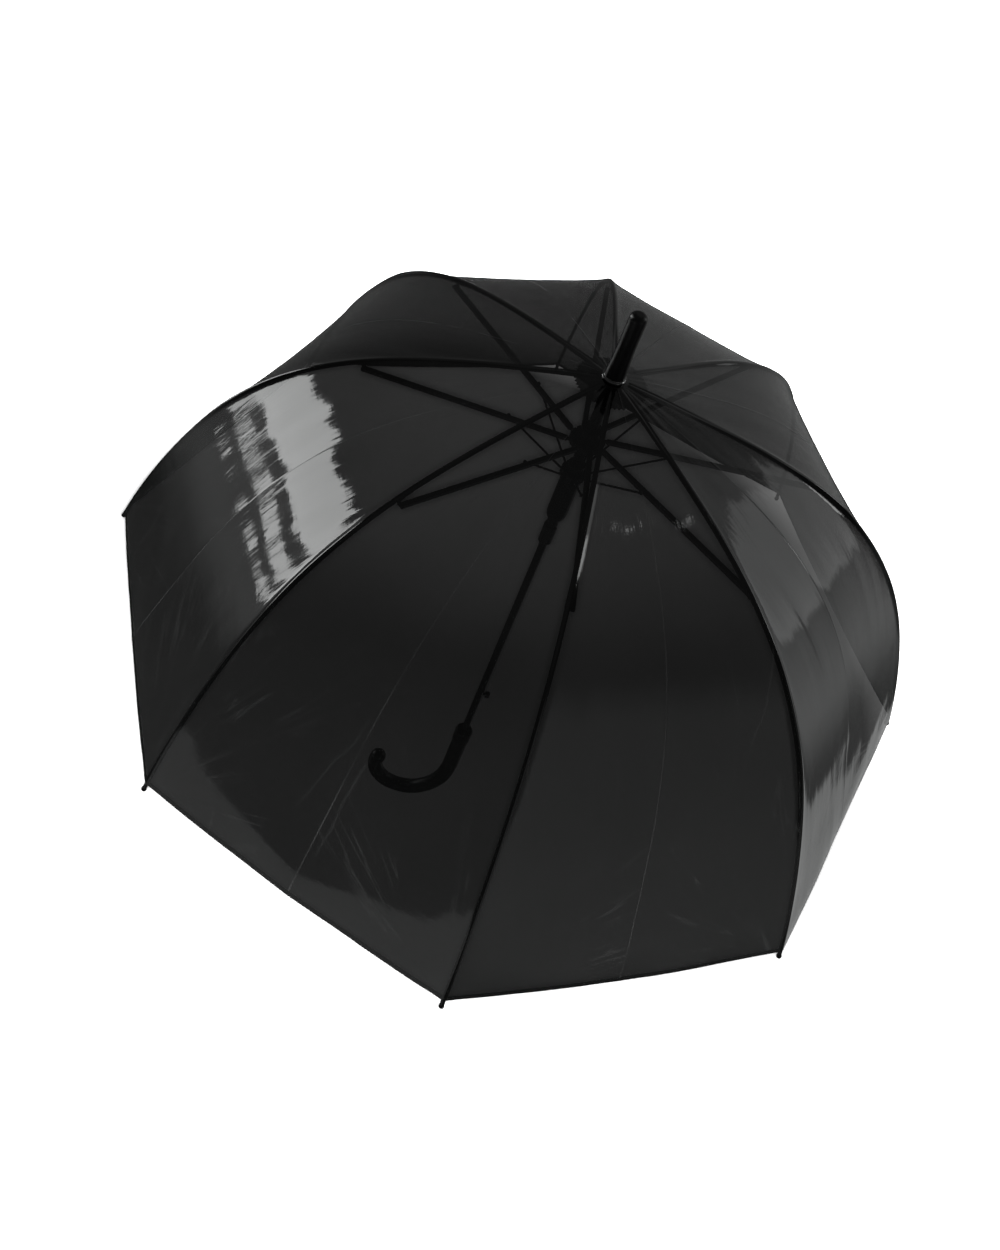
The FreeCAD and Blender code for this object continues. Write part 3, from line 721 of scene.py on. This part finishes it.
paint(["rib_inner", "rib_outer"], ROD)
paint(["tip_cap"], CAPM)
paint(["stretcher", "link"], STEEL)
paint(["shaft_tube"], TUBE)
paint(["notch_wire", "opening_spring", "button_spring"], WIRE)
paint(["top_notch", "upper_runner", "lower_runner", "release_button"], MOULD)
paint(["ferrule"], GLOSS)
paint(["handle_"], GRIP)
paint(["canopy", "rosette"], FILM)

def declare(ob, area=None):
    """Every film piece is cut flat and stretched over the ribs; this sums the formed piece's area, or takes the given
    one, and does nothing with it.
    """
    area = sum(p_.area for p_ in ob.data.polygons) if area is None else area


for ob, length in FILM_PIECES:
    kk = int(ob.name.split("_")[2])
    declare(ob)
declare(crown)
declare(core)
for kk, pet in enumerate(PETALS):
    declare(pet)

# ------------------------------------------------------------------ floor, lights, camera
floor_z = -0.1245
fm, fnt, fp = mat("pale_floor")
co = node(fnt, "ShaderNodeTexCoord").outputs["Object"]
fn = noise(fnt, co, 3.0, 2.0)
fnt.links.new(ramp(fnt, fn, [(0.3, (0.88, 0.88, 0.88)), (0.7, (0.91, 0.91, 0.91))]), fp.inputs["Base Color"])
fp.inputs["Roughness"].default_value = 0.9
# The floor glows though it is no lamp. There is no glow within 0.61 m of a spot under the umbrella, a painted shadow.
# Round it is a painted pool of light of strength 2.4 from 0.74 m, easing to 1.1 past 2.6 m.
fp.inputs["Emission Color"].default_value = (1, 1, 1, 1)
away = node(fnt, "ShaderNodeVectorMath", operation="SUBTRACT")
away.inputs[1].default_value = (-0.02, -0.30, floor_z)
fnt.links.new(co, away.inputs[0])
ln = node(fnt, "ShaderNodeVectorMath", operation="LENGTH")
fnt.links.new(away.outputs[0], ln.inputs[0])
glow_outside_painted_shadow = mrange(fnt, ln.outputs["Value"], 0.61, 0.74, 0.0, 2.4)
glow_easing_far_out = mrange(fnt, ln.outputs["Value"], 1.5, 2.6, 0.0, 1.3)
painted_floor_glow = node(fnt, "ShaderNodeMath", operation="SUBTRACT")
fnt.links.new(glow_outside_painted_shadow, painted_floor_glow.inputs[0])
fnt.links.new(glow_easing_far_out, painted_floor_glow.inputs[1])
fnt.links.new(painted_floor_glow.outputs[0], fp.inputs["Emission Strength"])
floor = new_object("floor", [(-30, -30, floor_z), (30, -30, floor_z), (30, 30, floor_z), (-30, 30, floor_z)],
                   [(0, 1, 2, 3)], [fm], smooth=False)
floor.visible_glossy = False

CAM = Vector((0.13987, 0.80227, 0.63772 + ZC))
RIGHT = Vector((-0.96393, -0.18047, 0.19561))
UP = Vector((0.2629, -0.76011, 0.59424))
FWD = Vector((-0.04145, -0.62423, -0.78014))
cam_data = bpy.data.cameras.new("camera")
cam = bpy.data.objects.new("camera", cam_data)
bpy.context.scene.collection.objects.link(cam)
cam.matrix_world = Matrix(((RIGHT.x, UP.x, -FWD.x, CAM.x), (RIGHT.y, UP.y, -FWD.y, CAM.y),
                           (RIGHT.z, UP.z, -FWD.z, CAM.z), (0, 0, 0, 1)))
cam_data.sensor_width = 36.0
cam_data.lens = 1174.77 / 1250 * 36
cam_data.shift_x = (500 - 430.75) / 1250
cam_data.shift_y = -(625 - 608.68) / 1250
cam_data.clip_start = 0.02
cam_data.clip_end = 100
bpy.context.scene.camera = cam


def spot(name, loc, aim, energy, size_deg, blend, radius):
    d = bpy.data.lights.new(name, "SPOT")
    d.energy = energy
    d.spot_size = math.radians(size_deg)
    d.spot_blend = blend
    d.shadow_soft_size = radius
    o = bpy.data.objects.new(name, d)
    bpy.context.scene.collection.objects.link(o)
    o.location = loc
    o.rotation_mode = "QUATERNION"
    o.rotation_quaternion = (Vector(aim) - Vector(loc)).to_track_quat("-Z", "Y")
    o.visible_camera = False
    o.visible_glossy = False
    o.visible_transmission = False
    return o


# the key stands at the lens, so that the shadow falls behind the object; a second beam fills the far floor
SPOT_UNIT = 4 * math.pi * math.pi * 1.79 ** 2 / 0.89 / 0.78
keys = [spot("key_near", CAM, CAM + FWD, SPOT_UNIT * 1.35, 150, 0.15, 0.012),
        spot("key_far", CAM, CAM + FWD + RIGHT * 0.11 + UP * 0.416, SPOT_UNIT * 7.0, 52, 1.0, 0.012)]
keys.append(spot("key_side", CAM, CAM + FWD + RIGHT * 0.47 + UP * 0.05, SPOT_UNIT * 1.2, 30, 1.0, 0.012))
only_floor = bpy.data.collections.new("lit_floor")
only_floor.objects.link(floor)
for o_ in keys:
    o_.light_linking.receiver_collection = only_floor

# ------------------------------------------------------------------ studio surroundings, as mirror rays see them
# azimuth and elevation in degrees: from, to, softness of the edges, radiance
STUDIO = [
    # big light left of the object, with the slats of its grid
    ((-30.0, -8.0), (5.6, 24.4), 0.8, 0.8, 4.6),
    ((-26.5, -18.4), (-5.0, 0.2), 0.8, 0.6, 3.8),
    ((-26.5, -19.4), (-11.2, -8.3), 0.8, 0.6, 3.2),
    ((-38.0, -25.0), (-14.0, 15.0), 0.8, 1.0, 3.8),
    ((-16.9, -9.0), (-3.4, 7.5), 0.6, 1.0, 3.6),
    # the wall round it
    ((-45.0, 0.0), (-21.0, 8.0), 16.0, 14.0, 0.25),
    # dim wall behind, brighter to the right
    ((-160.0, -100.0), (-26.0, 36.0), 16.0, 14.0, 0.13),
    ((-170.0, -50.0), (-40.0, 50.0), 12.0, 30.0, 0.03),
    # window on the right
    ((-157.5, -139.0), (3.0, 36.0), 1.0, 3.0, 0.50),
    ((-160.0, -143.0), (-24.0, 8.0), 4.0, 24.0, 0.22),
    # edge of the window frame, seen along the fourth rib
    ((-167.5, -158.2), (19.0, 34.0), 0.8, 1.2, 3.0),
    # small window overhead
    ((-151.4, -148.8), (63.7, 64.5), 0.5, 0.4, 3.2),
    # the pale table the object lies on, in the lower panels
    ((34.0, 78.0), (-36.0, -18.5), 8.0, 1.4, 0.24),
    ((128.0, 150.0), (-30.0, 30.0), 7.0, 18.0, 0.12),
    ((-165.0, -118.0), (-60.0, -36.0), 6.0, 1.6, 0.30),
    # ceiling
    ((-180.0, 180.0), (48.0, 95.0), 1.0, 30.0, 0.03),
]
w = bpy.data.worlds.new("studio")
bpy.context.scene.world = w
w.use_nodes = True
wn = w.node_tree
for n_ in list(wn.nodes):
    wn.nodes.remove(n_)


def wmath(op, a, b=None):
    n = wn.nodes.new("ShaderNodeMath")
    n.operation = op
    for i, x in enumerate((a, b)):
        if x is None:
            continue
        if isinstance(x, (int, float)):
            n.inputs[i].default_value = x
        else:
            wn.links.new(x, n.inputs[i])
    return n.outputs[0]


def wstep(v, a, b, c, d):
    n = wn.nodes.new("ShaderNodeMapRange")
    n.interpolation_type = "SMOOTHSTEP"
    for i, x in zip((1, 2, 3, 4), (a, b, c, d)):
        n.inputs[i].default_value = x
    wn.links.new(v, n.inputs[0])
    return n.outputs[0]


wc = wn.nodes.new("ShaderNodeTexCoord").outputs["Generated"]
sep = wn.nodes.new("ShaderNodeSeparateXYZ")
wn.links.new(wc, sep.inputs[0])
AZ = wmath("MULTIPLY", wmath("ARCTAN2", sep.outputs[1], sep.outputs[0]), 180 / math.pi)
EL = wmath("MULTIPLY", wmath("ARCSINE", sep.outputs[2]), 180 / math.pi)
total = None
for (a0, a1), (e0, e1), sa, se, rad in STUDIO:
    f_ = wmath("MULTIPLY", wstep(AZ, a0 - sa / 2, a0 + sa / 2, 0, 1), wstep(AZ, a1 - sa / 2, a1 + sa / 2, 1, 0))
    g_ = wmath("MULTIPLY", wstep(EL, e0 - se / 2, e0 + se / 2, 0, 1), wstep(EL, e1 - se / 2, e1 + se / 2, 1, 0))
    f_ = wmath("MULTIPLY", wmath("MULTIPLY", f_, g_), rad)
    total = f_ if total is None else wmath("ADD" if rad < 2 else "MAXIMUM", total, f_)
total = wmath("ADD", total, 0.035)

wo = wn.nodes.new("ShaderNodeOutputWorld")
b1 = wn.nodes.new("ShaderNodeBackground")
b2 = wn.nodes.new("ShaderNodeBackground")
b3 = wn.nodes.new("ShaderNodeBackground")
mx = wn.nodes.new("ShaderNodeMixShader")
mx2 = wn.nodes.new("ShaderNodeMixShader")
lp = wn.nodes.new("ShaderNodeLightPath")
b1.inputs[0].default_value = (0.03, 0.03, 0.03, 1)
b2.inputs[0].default_value = (1.1, 1.1, 1.1, 1)
wn.links.new(total, b3.inputs["Strength"])
b3.inputs[0].default_value = (0.985, 1.0, 0.993, 1)
wn.links.new(lp.outputs["Is Glossy Ray"], mx2.inputs[0])
wn.links.new(b1.outputs[0], mx2.inputs[1])
wn.links.new(b3.outputs[0], mx2.inputs[2])
wn.links.new(lp.outputs["Is Camera Ray"], mx.inputs[0])
wn.links.new(mx2.outputs[0], mx.inputs[1])
wn.links.new(b2.outputs[0], mx.inputs[2])
wn.links.new(mx.outputs[0], wo.inputs[0])

bpy.context.scene.view_settings.view_transform = "Standard"
bpy.context.scene.view_settings.look = "None"
